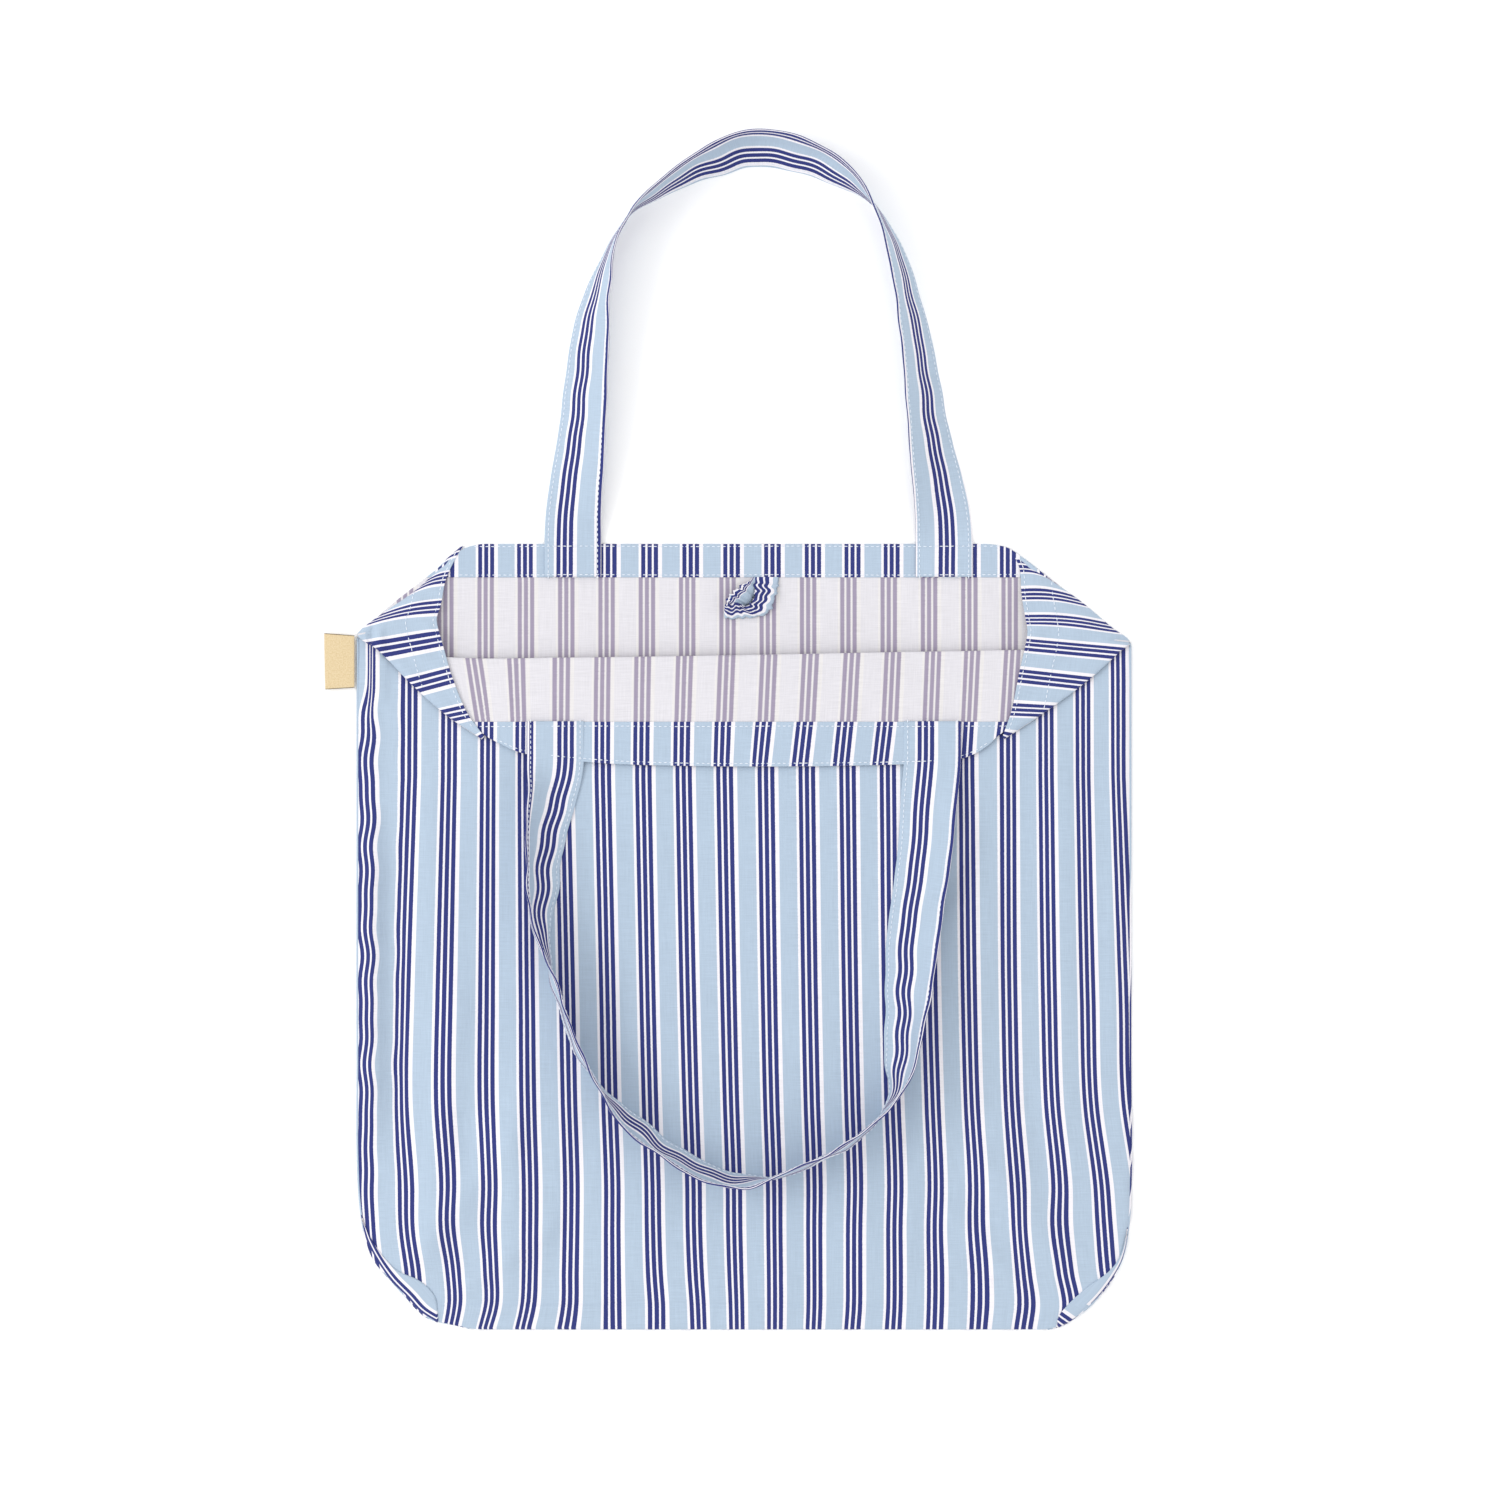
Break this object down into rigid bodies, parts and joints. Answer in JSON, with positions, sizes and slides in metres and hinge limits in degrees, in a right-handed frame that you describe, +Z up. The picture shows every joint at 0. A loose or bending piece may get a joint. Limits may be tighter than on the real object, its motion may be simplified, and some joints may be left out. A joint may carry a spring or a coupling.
{
  "type": "tote bag",
  "caption": "Soft striped cloth tote bag laid flat on its back, mouth folded open, with shoulder straps, an elastic loop and a side label.",
  "frame": {"origin": "on the underside of the back panel, on the bag's centreline, midway between the bottom fold and the back rim", "axes": "+Z up off the table that the bag lies on, +Y from the bottom fold towards the mouth, +X to the right seen from above"},
  "size_m": [0.427, 0.6331, 0.0466],
  "materials": {
    "striped_cotton": "woven cotton, light blue with triple navy pinstripes on white, matte",
    "cotton_wrong_side": "the same cotton seen from the back, pale with faint stripes, matte",
    "strap_cotton": "striped cotton folded to a flat strap and edge stitched, matte",
    "gathered_cotton": "striped cotton gathered over elastic, matte",
    "elastic": "white round elastic, matte",
    "woven_label": "cream woven label tape, matte",
    "thread": "white and pale blue sewing thread"
  },
  "bodies": {
    "bag": {"back_panel": "striped_cotton", "front_panel": "striped_cotton", "front_turnover": "cotton_wrong_side", "left_ear": "striped_cotton", "right_ear": "striped_cotton", "back_hem": "striped_cotton", "front_hem": "striped_cotton", "left_ear_hem": "striped_cotton", "right_ear_hem": "striped_cotton", "left_side_seam": "striped_cotton", "right_side_seam": "striped_cotton", "left_corner_seam": "striped_cotton", "right_corner_seam": "striped_cotton", "bottom_fold": "striped_cotton", "back_strap_left_end": "strap_cotton", "back_strap_right_end": "strap_cotton", "front_strap_left_end": "strap_cotton", "front_strap_right_end": "strap_cotton", "back_hem_stitching": "thread", "front_hem_stitching": "thread", "ear_stitching": "thread", "strap_end_stitching": "thread"},
    "back_strap": {"back_strap": "strap_cotton"},
    "front_strap": {"front_strap": "strap_cotton"},
    "elastic_loop": {"loop_casing": "gathered_cotton", "loop_elastic": "elastic"},
    "label": {"side_label": "woven_label"}
  },
  "joints": [
    {"name": "back_strap_swing", "type": "hinge", "parent": "bag", "child": "back_strap", "pos_m": [0, 0.209, 0.0028], "axis": [1, 0, 0], "range_deg": [0, 95]},
    {"name": "front_strap_swing", "type": "hinge", "parent": "bag", "child": "front_strap", "pos_m": [0, 0.0905, 0.0195], "axis": [-1, 0, 0], "range_deg": [0, 95]},
    {"name": "elastic_loop_swing", "type": "hinge", "parent": "bag", "child": "elastic_loop", "pos_m": [0, 0.188, 0.0047], "axis": [-1, 0, 0], "range_deg": [0, 140]},
    {"name": "label_flex", "type": "hinge", "parent": "bag", "child": "label", "pos_m": [-0.2058, 0.146, 0.0025], "axis": [0, 1, 0], "range_deg": [0, 90]}
  ]
}
